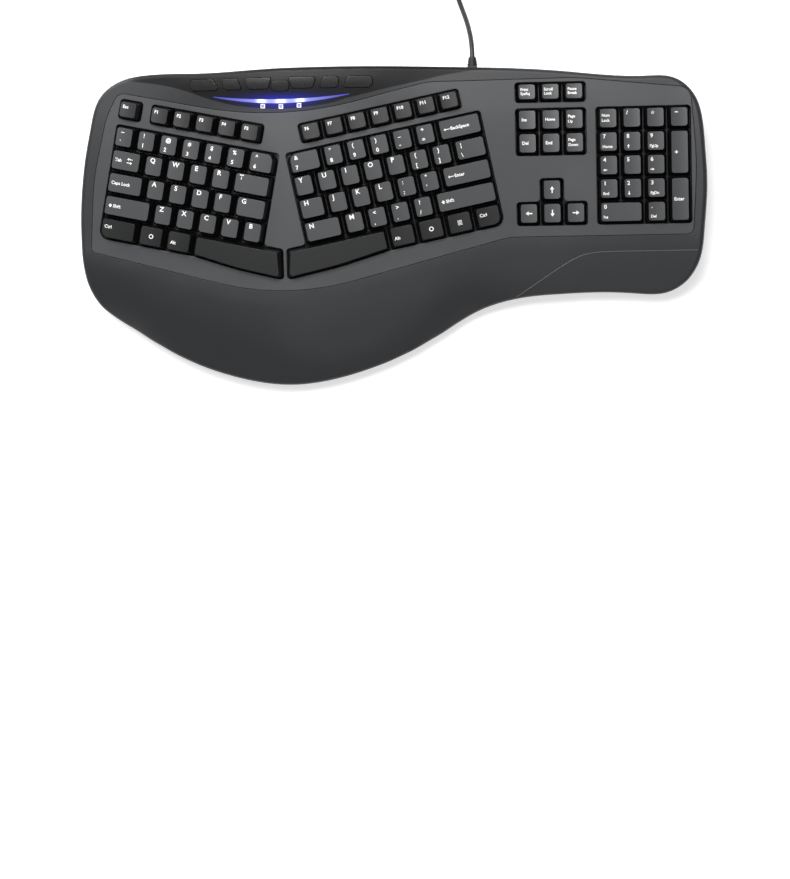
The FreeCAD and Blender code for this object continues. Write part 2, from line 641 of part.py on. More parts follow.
STACK_GAP = 1.0
DOME_R, DOME_TIP_R = 4.5, 3.2
SHEET_INSET = 0.1
carried = below(-PANEL - SEAM)
outer = WELL_MARGIN + TRAY_WALL
hole = STEM / 2 + STEM_CLEARANCE
tube = hole + GUIDE_WALL
sheets, membranes, backings = [], [], []
for name, block in (("left", LEFT), ("right", RIGHT), ("pad", PAD)):
    space = block_space(block)

    def placed(shape):
        moved = shape.transformed(block.toMatrix())
        return moved.common(space) if space else moved

    frame = layer(block, outer, 0, DOME_SHEET).cut(layer(block, WELL_MARGIN, -1, PLATE_TOP))
    frame = frame.cut(layer(block, WELL_MARGIN, PLATE_TOP + PLATE_T, DOME_SHEET + 1))
    tubes = [box(x - tube, x + tube, y - tube, y + tube, -PLATE_TOP - PLATE_T / 2, -GUIDE_TOP)
             for x, y in stems[id(block)]]
    holes = [box(x - hole, x + hole, y - hole, y + hole, -PLATE_TOP - PLATE_T - 1, 0)
             for x, y in stems[id(block)]]
    frame = frame.fuse(tubes).cut(Part.makeCompound(holes))
    save("key_plate_" + name, placed(frame).common(carried))
    domes = [Part.makeCone(DOME_R, DOME_TIP_R, DOME_SHEET - DOME_TOP - SHEET_T / 2,
                           V(x, y, -DOME_SHEET + SHEET_T / 2)) for x, y in stems[id(block)]]
    sheet = layer(block, WELL_MARGIN - SHEET_INSET, DOME_SHEET - SHEET_T, DOME_SHEET)
    sheets.append(placed(sheet.fuse(domes)))
    level = DOME_SHEET + LAYER_GAP
    membranes.append(placed(layer(block, outer, level, level + MEMBRANE_T)).common(within))
    level += MEMBRANE_T + LAYER_GAP
    backings.append(placed(layer(block, outer, level, level + BACKING_T)).common(within))
save("dome_sheets", Part.makeCompound(sheets))
save("membranes", Part.makeCompound(membranes))
save("backing_plates", Part.makeCompound(backings))
stack_bottom = level + BACKING_T

# Tub details: screw bosses, posts under the key stacks, board posts, foot pockets.
trim = tub(SEAM / 10, 0)
bosses = [rod(x, y, FLOOR / 2, BOSS_TOP, BOSS_R).common(trim) for x, y in SCREWS]
RESTS = {
    "left": (LEFT, [(-125, -70), (-125, 15), (-70, -70), (-60, 15), (-12, -60)]),
    "right": (RIGHT, [(148, -70), (155, -20), (105, 20), (80, -70), (60, 20), (12, -60)]),
    "pad": (PAD, [(0, 20), (0, -75), (65, -20), (120, -75), (120, 0)]),
}
REST_R = 2.6
rests = []
for block, places in RESTS.values():
    under = box(-300, 300, -200, 200, -100, -stack_bottom - LAYER_GAP)
    under = under.transformed(block.toMatrix())
    for x, y in places:
        foot = block.multVec(V(x, y, -stack_bottom))
        rests.append(rod(foot.x, foot.y, FLOOR / 2, 60, REST_R).common(under))

BOARD_X, BOARD_Y, BOARD_Z = (22, 78), (84, 105), 8.0
MOUNTS = [(x, y) for x in (BOARD_X[0] + 4, BOARD_X[1] - 4)
          for y in (BOARD_Y[0] + 4, BOARD_Y[1] - 4)]
MOUNT_R, PIN_R = 2.6, 1.2
mounts = [rod(x, y, FLOOR / 2, BOARD_Z, MOUNT_R).fuse(
    rod(x, y, BOARD_Z - 1, BOARD_Z + BOARD_T + 0.6, PIN_R)) for x, y in MOUNTS]

pocket_top = FOOT_Z + FOOT_T / 2 + 2 * FOOT_CLEARANCE
POCKET_WALL, POCKET_ROOF = 2.5, 2.0
pocket_half = FOOT_W / 2 + FOOT_CLEARANCE
stop = (FOOT_T / 2 + FOOT_CLEARANCE) * math.sqrt(2)
reach = FOOT_L + FOOT_CLEARANCE + 1
housings, pockets = [], []
for x in FOOT_X:
    side = pocket_half + POCKET_WALL
    housings.append(box(x - side, x + side, FOOT_Y - reach - POCKET_WALL,
                        FOOT_Y + stop + POCKET_WALL + 3, FLOOR / 2, pocket_top + POCKET_ROOF))
    profile = [(FOOT_Y - reach, -1), (FOOT_Y + stop + FOOT_Z + 1, -1),
               (FOOT_Y + stop + FOOT_Z - pocket_top, pocket_top), (FOOT_Y - reach, pocket_top)]
    wire = Part.makePolygon([V(x - pocket_half, y, z) for y, z in profile + profile[:1]])
    pockets.append(Part.Face(wire).extrude(V(2 * pocket_half, 0, 0)))
    bore = 2 * (pocket_half + PIVOT_L - FOOT_CLEARANCE + 0.3)
    pockets.append(Part.makeCylinder(PIVOT_R + PIVOT_CLEARANCE, bore,
                                     V(x - bore / 2, FOOT_Y, FOOT_Z), V(1, 0, 0)))

# Blanked-off port in the rear wall, with its two knock-outs.
PORT = [(216, 15.4), (213, 20), (166.5, 20.6), (173, 9.8)]
KNOCKOUTS = [[(213.5, 12.6), (213.5, 18.2), (200.5, 18.2), (200.5, 11.4)],
             [(188.7, 11), (188.7, 18.2), (174.6, 18.2), (176.4, 11)]]
port_cuts = []
for depth, corners in [(0.9, PORT)] + [(1.5, k) for k in KNOCKOUTS]:
    wire = Part.makePolygon([V(x, 100, z) for x, z in corners + corners[:1]])
    port_cuts.append(Part.Face(wire).extrude(V(0, 40, 0)).cut(tub(depth, -1)))

# Lead's way out: a slot in the rear wall, closed by the strain relief.
RELIEF_R, RELIEF_FIT = 4.0, 0.15
RELIEF_TAIL, RIB_T, RIB_STEP = 9.0, 1.1, 2.0
RELIEF_LIP, RELIEF_DEPTH = 1.6, 5.4


def along_y(x, z, y0, y1, r):
    return Part.makeCylinder(r, y1 - y0, V(x, y0, z), V(0, 1, 0))


def arch(grow, y0, y1, top):
    """Round-bottomed slot shape across the rear wall, open to its top edge."""
    r = RELIEF_R + grow
    column = box(LEAD_X - r, LEAD_X + r, y0, y1, LEAD_Z, top)
    return along_y(LEAD_X, LEAD_Z, y0, y1, r).fuse(column).removeSplitter()


REAR_Y = 128.9             # outer face of the rear wall at the lead
inner_y = REAR_Y - WALL
slot = arch(RELIEF_FIT, inner_y - 6, REAR_Y + 6, 60)
bottom_case = bottom_case.fuse(bosses + rests + mounts + housings)
bottom_case = bottom_case.cut(
    pockets + port_cuts + [slot]
    + [rod(x, y, -1, SEAT_Z, HEAD_R + COUNTERBORE) for x, y in SCREWS]
    + [rod(x, y, SEAT_Z - 1, BOSS_TOP + 1, SHANK_R + COUNTERBORE) for x, y in SCREWS])
save("bottom_case", bottom_case)

rim_z = height(LEAD_X, REAR_Y) - RIM_BAND
plug_top = rim_z - 3 * SEAM
relief = arch(0, inner_y - RELIEF_DEPTH, REAR_Y + 2.2, plug_top)
lip = arch(RELIEF_LIP, inner_y - RELIEF_DEPTH, inner_y, plug_top - 1.5)
relief = relief.fuse([
    lip.common(within),
    Part.makeCone(RELIEF_R, LEAD_R + 0.9, RELIEF_TAIL, V(LEAD_X, REAR_Y + 1, LEAD_Z), V(0, 1, 0))])
ribs = [along_y(LEAD_X, LEAD_Z, REAR_Y + 3.4 + RIB_STEP * i, REAR_Y + 3.4 + RIB_STEP * i + RIB_T,
                RELIEF_R + 0.2 - 0.35 * i) for i in range(3)]
relief_end = REAR_Y + 1 + RELIEF_TAIL
relief = relief.fuse(ribs).cut(along_y(LEAD_X, LEAD_Z, 100, 160, LEAD_R + LAYER_GAP))
save("strain_relief", relief.removeSplitter())

# Boards
PLUG_IN = (LEAD_X, BOARD_Y[1] - 6)
chips = [box(40, 50, 90, 100, 0, 1.2), box(54, 58.5, 92, 96, 0, 1.4),
         box(27, 37, 86.5, 89.5, 0, 2.4), box(42, 60, 86, 88.5, 0, 2.4)]
chips = [c.translated(V(0, 0, BOARD_Z + BOARD_T - 0.05)) for c in chips]
socket_top = BOARD_Z + BOARD_T + 5.6
chips.append(box(PLUG_IN[0] - 4.5, PLUG_IN[0] + 4.5, PLUG_IN[1] - 3.5, PLUG_IN[1] + 3.5,
                 BOARD_Z + BOARD_T / 2, socket_top))
board = box(*BOARD_X, *BOARD_Y, BOARD_Z + LAYER_GAP, BOARD_Z + BOARD_T).fuse(chips)
save("controller_board", board.cut([rod(x, y, 0, 20, PIN_R + 0.15) for x, y in MOUNTS]))

# Flip-out feet with rubber tips, cut level with the desk, and the rubber pads.
tilt = math.tan(math.radians(STAND_TILT))
edge = [(y, -PAD_HEIGHT - tilt * (y - FRONT_PAD_Y)) for y in (-300, 300)]
edge += [(300, -90), (-300, -90), edge[0]]
desk_cut = Part.Face(Part.makePolygon([V(-400, y, z) for y, z in edge])).extrude(V(800, 0, 0))
down = math.radians(FOOT_ANGLE)
FOOT_TAPER = 2.0
FOOT_SPARE = 4.0           # blade length cut away by the desk
for name, x in (("left", FOOT_X[0]), ("right", FOOT_X[1])):
    half = FOOT_W / 2
    plan = [(x - half, 0), (x + half, 0), (x + half - FOOT_TAPER, FOOT_L + FOOT_SPARE),
            (x - half + FOOT_TAPER, FOOT_L + FOOT_SPARE)]
    blade = Part.Face(Part.makePolygon([V(a, b, -FOOT_T / 2) for a, b in plan + plan[:1]]))
    blade = blade.extrude(V(0, 0, FOOT_T))
    barrel = Part.makeCylinder(FOOT_T / 2, FOOT_W, V(x - half, 0, 0), V(1, 0, 0))
    pivots = Part.makeCylinder(PIVOT_R, FOOT_W + 2 * PIVOT_L, V(x - half - PIVOT_L, 0, 0),
                               V(1, 0, 0))
    slots = [box(x + dx - 3.6, x + dx + 3.6, 4.5, 14.5, -FOOT_T, -FOOT_T / 2 + 1.4)
             for dx in (-9.6, 0, 9.6)]
    body = blade.fuse([barrel, pivots]).cut(slots).removeSplitter()
    place = FreeCAD.Placement(V(0, FOOT_Y, FOOT_Z), FreeCAD.Rotation(V(1, 0, 0), -FOOT_ANGLE))
    body = body.transformed(place.toMatrix()).cut(desk_cut)
    contact = (FOOT_Z + PAD_HEIGHT + tilt * (FOOT_Y - FRONT_PAD_Y)) \
        / (math.sin(down) - tilt * math.cos(down))
    end = box(x - FOOT_W, x + FOOT_W, contact - FOOT_TIP, FOOT_L + 30, -20, 20)
    end = end.transformed(place.toMatrix())
    save("foot_" + name, body.cut(end))
    save("foot_tip_" + name, body.common(end))

FRONT_PADS = [(-124, -98), (-80, -54)]
SIDE_PADS = [(233, -18), (-238, -32), (-88, 108), (96, 100)]
pads = [prism(rounded(rectangle(x0, x1, FRONT_PAD_Y, FRONT_PAD_Y + 9, 3), -PAD_HEIGHT - 2),
              PAD_HEIGHT + 2).cut(desk_cut) for x0, x1 in FRONT_PADS]
pads += [prism(rounded(rectangle(x - 7, x + 7, y - 4, y + 4, 3), -PAD_HEIGHT), PAD_HEIGHT)
         for x, y in SIDE_PADS]
save("rubber_pads", Part.makeCompound(pads))

# Stand: tilt everything about X, drop it onto the desk and centre it in plan.
tilted = FreeCAD.Rotation(V(1, 0, 0), STAND_TILT)
standing = Part.makeCompound(list(parts.values())).transformed(
    FreeCAD.Placement(V(0, 0, 0), tilted).toMatrix()).optimalBoundingBox(True, False)
desk_level = tilted.multVec(V(0, FRONT_PAD_Y, -PAD_HEIGHT)).z
STAND = FreeCAD.Placement(V(-standing.Center.x, -standing.Center.y, -desk_level), tilted)
parts = {name: shape.transformed(STAND.toMatrix()) for name, shape in parts.items()}


# Lead: a run from the controller board out of the relief and down to the desk, a round
# coil, and a tail to the plug. Its places are measured from the mouth of the relief.
def run(points, bend, r):
    """A round tube along straight runs joined by tangent arcs; returns it and its length."""
    edges, length, last = [], 0, points[0]
    for before, here, after in zip(points, points[1:], points[2:]):
        a, b = (before - here), (after - here)
        room = min(a.Length, b.Length) * 0.45
        a.normalize()
        b.normalize()
        half = a.getAngle(b) / 2
        back = min(bend / math.tan(half), room)
        radius = back * math.tan(half)
        middle = here + (a + b).normalize() * (radius / math.sin(half) - radius)
        start, stop = here + a * back, here + b * back
        edges += [Part.makeLine(last, start), Part.Arc(start, middle, stop).toShape()]
        last = stop
    edges.append(Part.makeLine(last, points[-1]))
    path = Part.Wire(edges)
    section = Part.Wire(Part.makeCircle(r, points[0], points[1] - points[0]))
    return path.makePipeShell([section], True, False), path.Length


COIL_PITCH = 5.0
COIL_INNER = 15.75
COIL_LAYERS = 4
TIE_T, TIE_W, TIE_FIT = 0.8, 6.0, 0.6
COIL_BASE = TIE_T + 0.3 + LEAD_R
LAYER_TURNS = 2.5          # and half a turn climbs to the next layer
COIL_OUTER = COIL_INNER + LAYER_TURNS * COIL_PITCH
exit_point = STAND.multVec(V(LEAD_X, relief_end, LEAD_Z))
inner_end = STAND.multVec(V(LEAD_X, PLUG_IN[1], socket_top + LAYER_GAP))
inner_bend = STAND.multVec(V(LEAD_X, PLUG_IN[1], LEAD_Z))
LEAD_ROUTE = [(0, 12, 39.8), (-4, 32, 20), (-10, 50, 3.4), (-15, 66, 3.2), (-15, 98, 0)]
route = [exit_point + V(dx, dy, 0) for dx, dy, z in LEAD_ROUTE]
for point, (dx, dy, z) in zip(route, LEAD_ROUTE):
    point.z = z or COIL_BASE
save("lead_inside", run([inner_end, inner_bend, exit_point], 9, LEAD_R)[0])
lead_run, run_length = run([exit_point] + route, 9, LEAD_R)
save("lead_run", lead_run)

centre = route[-1] - V(COIL_OUTER, 0, 0)
nodes = []
half_turns = int(2 * LAYER_TURNS)
for floor_index in range(COIL_LAYERS):
    for i in range(half_turns + 1):
        across = i if floor_index % 2 else half_turns - i
        nodes.append((COIL_INNER + across * COIL_PITCH / 2, floor_index * COIL_PITCH))
nodes.append((nodes[-1][0] + COIL_PITCH / 2, nodes[-1][1]))
places = [centre + V(radius if i % 2 == 0 else -radius, 0, level)
          for i, (radius, level) in enumerate(nodes)]
turns, samples = [], []
for i, (start, stop) in enumerate(zip(places, places[1:])):
    middle = (start + stop) * 0.5
    bulge = V(0, (stop - start).Length / 2 * (1 if i % 2 == 0 else -1), 0)
    turns.append(Part.Arc(start, middle + bulge, stop).toShape())
    for k in range(12):
        angle = math.pi * k / 12
        samples.append(middle + (start - middle) * math.cos(angle) + bulge * math.sin(angle))
coil_path = Part.Wire(turns)
section = Part.Wire(Part.makeCircle(LEAD_R, places[0], V(0, 1, 0)))
save("lead_coil", coil_path.makePipeShell([section], True, False))
least = min((p - q).Length for i, p in enumerate(samples) for q in samples[i + 12:])
print("coil: least gap %.2f mm, tightest turn %.1f mm" % (least - 2 * LEAD_R, COIL_INNER))

tail_start = places[-1]
PLUG_Z = 4.1
TAIL = [(0, 14, 0), (0, 34, 8), (3, 50, PLUG_Z), (3, 66, PLUG_Z)]
tail = [tail_start + V(0, 0, 0)] + [tail_start + V(dx, dy, 0) for dx, dy, z in TAIL]
for point, (dx, dy, z) in zip(tail[1:], TAIL):
    point.z = z or tail_start.z
lead_tail, tail_length = run(tail, 12, LEAD_R)
save("lead_tail", lead_tail)
print("lead: %.0f mm, coil %.0f, bends of 9 and 12 mm" % (
    run_length + coil_path.Length + tail_length, coil_path.Length))

inner = COIL_INNER + COIL_PITCH / 4 - LEAD_R - TIE_FIT
outer = COIL_OUTER - COIL_PITCH / 4 + LEAD_R + TIE_FIT
low, high = COIL_BASE - LEAD_R - 0.3, COIL_BASE + (COIL_LAYERS - 1) * COIL_PITCH + LEAD_R + 0.3
tie = [box(-TIE_W / 2, TIE_W / 2, inner - g, outer + g, low - g, high + g) for g in (TIE_T, 0)]
save("lead_tie", tie[0].cut(tie[1]).translated(V(centre.x, centre.y, 0)))

# Plug: moulded grip, steel shell and the contact tongue inside it.
GRIP_W, GRIP_L, GRIP_H = 15.6, 27.0, 7.8
SHELL_W, SHELL_L, SHELL_H, SHELL_T = 12.0, 18.8, 4.5, 0.35
plug_at = tail[-1]
grip = Part.makeLoft([
    rounded(rectangle(-w / 2, w / 2, -h / 2, h / 2, r), y)
    for y, w, h, r in ((0, 6.4, 6.0, 2.6), (7, GRIP_W - 1, GRIP_H - 0.6, 2.4),
                       (GRIP_L, GRIP_W, GRIP_H, 1.8))], True, True)
tongue = box(-SHELL_W / 2 + 0.8, SHELL_W / 2 - 0.8, -0.3, 1.6, GRIP_L - 1, GRIP_L + SHELL_L - 0.6)
upright = FreeCAD.Placement(plug_at + V(0, LAYER_GAP, 0), FreeCAD.Rotation(V(1, 0, 0), -90))
save("plug_grip", grip.fuse(tongue).transformed(upright.toMatrix()))
steel = box(-SHELL_W / 2, SHELL_W / 2, -SHELL_H / 2, SHELL_H / 2, GRIP_L + LAYER_GAP,
            GRIP_L + SHELL_L)
steel = steel.cut(box(-SHELL_W / 2 + SHELL_T, SHELL_W / 2 - SHELL_T, -SHELL_H / 2 + SHELL_T,
                      SHELL_H / 2 - SHELL_T, GRIP_L - 1, GRIP_L + SHELL_L + 1))
steel = steel.cut([box(x - 1.2, x + 1.2, -SHELL_H, SHELL_H, GRIP_L + 10.8, GRIP_L + 13.2)
                   for x in (-3.1, 3.1)])
save("plug_shell", steel.transformed(upright.toMatrix()))

os.makedirs("parts", exist_ok=True)
for name, shape in parts.items():
    if not shape.isValid():
        print("not valid:", name)
    shape.exportStep("parts/%s.step" % name)
print("%d nodes, %.1f x %.1f mm in plan" % (len(parts), standing.XLength, standing.YLength))
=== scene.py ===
import math

import bmesh
import bpy
from mathutils import Matrix, Vector
from mathutils.bvhtree import BVHTree


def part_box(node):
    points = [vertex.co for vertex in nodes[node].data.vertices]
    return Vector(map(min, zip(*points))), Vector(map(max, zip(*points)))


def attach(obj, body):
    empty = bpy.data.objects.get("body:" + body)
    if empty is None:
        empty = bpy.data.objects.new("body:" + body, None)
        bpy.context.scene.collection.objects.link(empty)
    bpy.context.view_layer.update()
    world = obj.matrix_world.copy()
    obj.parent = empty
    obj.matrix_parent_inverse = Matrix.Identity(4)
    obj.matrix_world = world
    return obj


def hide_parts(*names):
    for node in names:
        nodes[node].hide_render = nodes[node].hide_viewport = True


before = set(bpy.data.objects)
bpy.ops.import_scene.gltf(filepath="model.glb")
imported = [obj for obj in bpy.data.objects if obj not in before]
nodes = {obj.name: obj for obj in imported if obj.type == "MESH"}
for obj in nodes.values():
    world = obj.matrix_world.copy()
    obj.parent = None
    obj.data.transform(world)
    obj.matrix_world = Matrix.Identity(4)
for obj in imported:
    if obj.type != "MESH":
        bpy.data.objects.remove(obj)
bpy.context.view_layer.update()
MM = 0.001


def linked(name, data):
    """A new object of the scene."""
    made = bpy.data.objects.new(name, data)
    bpy.context.scene.collection.objects.link(made)
    return made


# Camera: the product shot looks almost straight down from a metre and a half, a little
# from the right, with the keyboard standing on its feet. The frame's upper part holds it.
STAND_TILT = math.radians(3)
CAMERA_PLACE = (0.0963, -0.0750, 1.4881)
CAMERA_ROLL, CAMERA_PITCH, CAMERA_YAW = 0.019, 0.004, -0.064
FOCAL_PX, FRAME_PX, MIDDLE_ROW, KEYBOARD_ROW = 1774, 790, 439.5, 227
stand = Matrix.Rotation(STAND_TILT, 3, "X")
fitted = (Matrix.Rotation(CAMERA_ROLL, 3, "Z") @ Matrix.Rotation(CAMERA_PITCH, 3, "X")
          @ Matrix.Rotation(CAMERA_YAW, 3, "Y"))
lens = bpy.data.cameras.new("product_camera")
lens.sensor_fit = "HORIZONTAL"
lens.sensor_width = 36
lens.lens = lens.sensor_width * FOCAL_PX / FRAME_PX
lens.shift_y = (KEYBOARD_ROW - MIDDLE_ROW) / FRAME_PX
lens.clip_end = 20
camera = linked("product_camera", lens)
camera.matrix_world = (Matrix.Translation(CAMERA_PLACE)
                       @ (stand @ fitted.transposed()).to_4x4())
bpy.context.scene.camera = camera

# Lead: a round black PVC-jacketed USB cable about 4 mm thick, moulded into its ribbed
# relief at the rear wall. It droops to the desk, and its spare length is a strapped coil.
LEAD_D = 4 * MM
MOUTH = Vector((69.03, 133.57, 39.3)) * MM
ROUTE = [(0, 12, 39.8), (-4, 32, 20), (-10, 50, 3.4), (-15, 66, 3.2), (-15, 98, 3.1)]
COIL_INNER, COIL_PITCH, COIL_LAYERS, HALF_TURNS = 15.75, 5.0, 4, 5
COIL_POINTS = 8            # to each half turn
TAIL = [(0, 14, 18.1), (0, 34, 8), (3, 50, 4.1), (3, 66, 4.1)]


def beside(origin, dx, dy, z):
    """The point so far beside the origin in plan, at its own height over the desk."""
    return Vector((origin.x + dx * MM, origin.y + dy * MM, z * MM))


def lead_points():
    """The route down to the desk, the coil's turns and the tail, as control points."""
    points = [MOUTH] + [beside(MOUTH, *place) for place in ROUTE]
    outer = COIL_INNER + HALF_TURNS * COIL_PITCH / 2
    centre = points[-1] - Vector((outer * MM, 0, 0))
    levels = []
    for layer in range(COIL_LAYERS):
        for i in range(HALF_TURNS + 1):
            across = i if layer % 2 else HALF_TURNS - i
            levels.append((COIL_INNER + across * COIL_PITCH / 2, layer * COIL_PITCH))
    levels.append((levels[-1][0] + COIL_PITCH / 2, levels[-1][1]))
    ends = [centre + Vector((r if i % 2 == 0 else -r, 0, z)) * MM
            for i, (r, z) in enumerate(levels)]
    spread = 1 / math.cos(math.pi / COIL_POINTS / 2)
    for i, (start, stop) in enumerate(zip(ends, ends[1:])):
        middle = (start + stop) / 2
        bulge = Vector((0, (stop - start).length / 2 * (1 if i % 2 == 0 else -1), 0))
        for k in range(COIL_POINTS):
            turn = math.pi * (k + 0.5) / COIL_POINTS
            arm = (start - middle) * math.cos(turn) + bulge * math.sin(turn)
            points.append(middle + arm * spread)
    points.append(ends[-1])
    return points + [beside(ends[-1], *place) for place in TAIL]


lead_curve = bpy.data.curves.new("lead", "CURVE")
lead_curve.dimensions = "3D"
lead_spline = lead_curve.splines.new("NURBS")
lead_path = lead_points()
lead_spline.points.add(len(lead_path) - 1)
for point, place in zip(lead_spline.points, lead_path):
    point.co = (*place, 1)
    point.radius = LEAD_D / 2
lead_spline.order_u = 3
lead_spline.use_endpoint_u = True
lead_spline.resolution_u = 6
lead_curve.bevel_depth = 1  # a factor on each point's radius
lead_curve.bevel_resolution = 4
lead = linked("lead", lead_curve)
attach(lead, "case")
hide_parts("lead_run", "lead_coil", "lead_tail")


def linear(colour):
    """sRGB hex to linear RGBA."""
    parts = [int(colour[i:i + 2], 16) / 255 for i in (1, 3, 5)]
    return [c / 12.92 if c <= 0.04045 else ((c + 0.055) / 1.055) ** 2.4 for c in parts] + [1]


def add(tree, kind, inputs, **settings):
    """Adds a node; inputs are values or the sockets they are linked from."""
    node = tree.nodes.new(kind)
    for name, value in settings.items():
        setattr(node, name, value)
    for name, value in inputs.items():
        if isinstance(value, bpy.types.NodeSocket):
            tree.links.new(value, node.inputs[name])
        else:
            node.inputs[name].default_value = value
    return node


def maths(tree, operation, *values):
    """The result of a maths node on numbers or sockets."""
    return add(tree, "ShaderNodeMath", dict(enumerate(values)), operation=operation).outputs[0]


def remap(tree, value, from_low, from_high, to_low=0.0, to_high=1.0, smooth=False):
    """The value carried from one range to another, and held at its ends."""
    kind = "SMOOTHSTEP" if smooth else "LINEAR"
    return add(tree, "ShaderNodeMapRange",
               {"Value": value, "From Min": from_low, "From Max": from_high, "To Min": to_low,
                "To Max": to_high}, interpolation_type=kind).outputs["Result"]


def mixed_tone(tree, share, first, second):
    return add(tree, "ShaderNodeMix", {"Factor": share, "A": first, "B": second},
               data_type="RGBA").outputs["Result"]


def noise(tree, place, size_mm, **inputs):
    return add(tree, "ShaderNodeTexNoise",
               {"Vector": place, "Scale": 1 / (size_mm * MM), **inputs}).outputs["Fac"]


def blank_material(name):
    """A material with an empty tree, and that tree."""
    material = bpy.data.materials.new(name)
    material.use_nodes = True
    material.node_tree.nodes.clear()
    return material, material.node_tree


def object_place(tree):
    return add(tree, "ShaderNodeTexCoord", {}).outputs["Object"]


def surface(tree, **inputs):
    """Ends a tree with a surface; the inputs' names have underscores for spaces."""
    skin = add(tree, "ShaderNodeBsdfPrincipled",
               {name.replace("_", " "): value for name, value in inputs.items()})
    add(tree, "ShaderNodeOutputMaterial", {"Surface": skin.outputs["BSDF"]})


def reopened(material):
    """A finished material's tree, its surface and its place's X and Y."""
    tree = material.node_tree
    skin = next(n for n in tree.nodes if n.type == "BSDF_PRINCIPLED")
    place = next(n for n in tree.nodes if n.type == "TEX_COORD").outputs["Object"]
    axes = add(tree, "ShaderNodeSeparateXYZ", {"Vector": place})
    return tree, skin, axes.outputs["X"], axes.outputs["Y"]


ABS_IOR, ACRYLIC_IOR = 1.53, 1.49
CLOUD_MM = 45              # size of the mottle in a moulding's tone
GRAIN_SPAN = (0.3, 0.7)    # the part of the noise's range that most of it lies in
SHEEN_DROP, SHEEN_RISE = 0.05, 0.06


def moulded(name, colour, worn, grain_mm, depth_mm, roughness, edge_mm=0.0):
    """Injection-moulded plastic or rubber: the tool's grain, a mottled tone, rounded edges."""
    material, tree = blank_material(name)
    place = object_place(tree)
    grain = noise(tree, place, grain_mm, Detail=3.0, Roughness=0.6)
    cloud = noise(tree, place, CLOUD_MM, Detail=2.0)
    tone = mixed_tone(tree, cloud, linear(colour), linear(worn))
    sheen = remap(tree, grain, *GRAIN_SPAN, roughness - SHEEN_DROP, roughness + SHEEN_RISE)
    bump = add(tree, "ShaderNodeBump", {"Height": grain, "Strength": 0.6,
                                        "Distance": depth_mm * MM})
    if edge_mm:
        edge = add(tree, "ShaderNodeBevel", {"Radius": edge_mm * MM})
        tree.links.new(edge.outputs["Normal"], bump.inputs["Normal"])
    surface(tree, Base_Color=tone, Roughness=sheen, IOR=ABS_IOR, Normal=bump.outputs["Normal"])
    return material


# PVC jacket: matte with a faint extruded mottle.
lead_jacket = moulded("pvc_jacket", "#1d1d1f", "#232325", 0.8, 0.05, 0.5)
lead.data.materials.append(lead_jacket)


def finish(material, *names):
    """Gives CAD pieces their material; they keep the smooth shading of their surfaces."""
    for name in names:
        mesh = nodes[name].data
        mesh.materials.clear()
        mesh.materials.append(material)


# Case: black ABS, moulded in two halves. The tub and the plates under the keys have a
# plain matte face; only the tub's walls and the slits between the caps show.
black_abs = moulded("black_abs_matte", "#17181a", "#1b1c1e", 0.7, 0.02, 0.42)
finish(black_abs, "bottom_case", "key_plate_left", "key_plate_right", "key_plate_pad",
       "foot_left", "foot_right")

# Palm rest and rim: the top case, in charcoal ABS with a very fine satin grain that
# wears a little shinier towards the hands.
charcoal_satin = moulded("charcoal_abs_satin", "#232426", "#28292b", 0.6, 0.012, 0.45, 0.6)
finish(charcoal_satin, "top_case")

# Key deck: a separate panel with a coarser spark-eroded grain. The real grain is about
# 0.3 mm, drawn at 0.9 mm so that it still shows from the camera.
spark_eroded = moulded("charcoal_abs_spark_eroded", "#36373a", "#3c3d40", 0.9, 0.05, 0.5, 0.8)
finish(spark_eroded, "deck_panel")

# Media strip: painted shade darkens the band behind the light bar to near black, and its
# specular level is lowered. Its front edge is a crease that keeps a few millimetres off the
# deck and runs out into the rear corners.
CREASE = [(-216, 118), (-189, 114), (-166, 108), (-142, 99.5), (-112, 93), (-87, 91.2),
          (-60, 93), (-30, 99.5), (0, 106.5), (30, 113), (54, 118), (80, 120.5), (110, 119.5)]
CREASE_LEFT, CREASE_RIGHT, CREASE_SOFT = -216, 120, 1.2
FADE_LEFT, FADE_RIGHT = (-6, 14), (0, -70)     # from each end of the crease
DULL, STRIP_SPECULAR = 0.5, 0.25                     # specular level off and on the strip


def paint_strip_shade(material, strip_shade):
    """Paints shade on what lies behind the crease, whose line a curve node holds in 0 to 1."""
    tree, skin, place_x, place_y = reopened(material)
    along = remap(tree, place_x, CREASE_LEFT * MM, CREASE_RIGHT * MM)
    low, high = min(y for x, y in CREASE), max(y for x, y in CREASE)
    line = add(tree, "ShaderNodeFloatCurve", {"Value": along})
    curve = line.mapping.curves[0]
    span = CREASE_RIGHT - CREASE_LEFT
    places = [((x - CREASE_LEFT) / span, (y - low) / (high - low)) for x, y in CREASE]
    curve.points[0].location, curve.points[1].location = places[0], (1, places[-1][1])
    for spot in places[1:]:
        curve.points.new(*spot)
    line.mapping.update()
    level = remap(tree, line.outputs["Value"], 0.0, 1.0, low * MM, high * MM)
    over = maths(tree, "SUBTRACT", place_y, level)
    behind = remap(tree, over, 0.0, CREASE_SOFT * MM, smooth=True)
    left = remap(tree, place_x, *[(CREASE_LEFT + d) * MM for d in FADE_LEFT], smooth=True)
    right = remap(tree, place_x, *[(CREASE_RIGHT + d) * MM for d in FADE_RIGHT], smooth=True)
    share = maths(tree, "MULTIPLY", behind, maths(tree, "MULTIPLY", left, right))
    base = skin.inputs["Base Color"].links[0].from_socket
    tree.links.new(mixed_tone(tree, share, base, linear(strip_shade)), skin.inputs["Base Color"])
    tree.links.new(remap(tree, share, 0.0, 1.0, DULL, STRIP_SPECULAR),
                   skin.inputs["Specular IOR Level"])


# Painted shade: the top case's colour turns near black behind the crease.
paint_strip_shade(charcoal_satin, "#0e0e0f")

# Media buttons: near black, as dark as the painted shade on the strip that they stand in, a
# little glossier.
media_satin = moulded("media_button_abs", "#101011", "#141415", 0.6, 0.01, 0.3, 0.9)
finish(media_satin, "media_buttons")

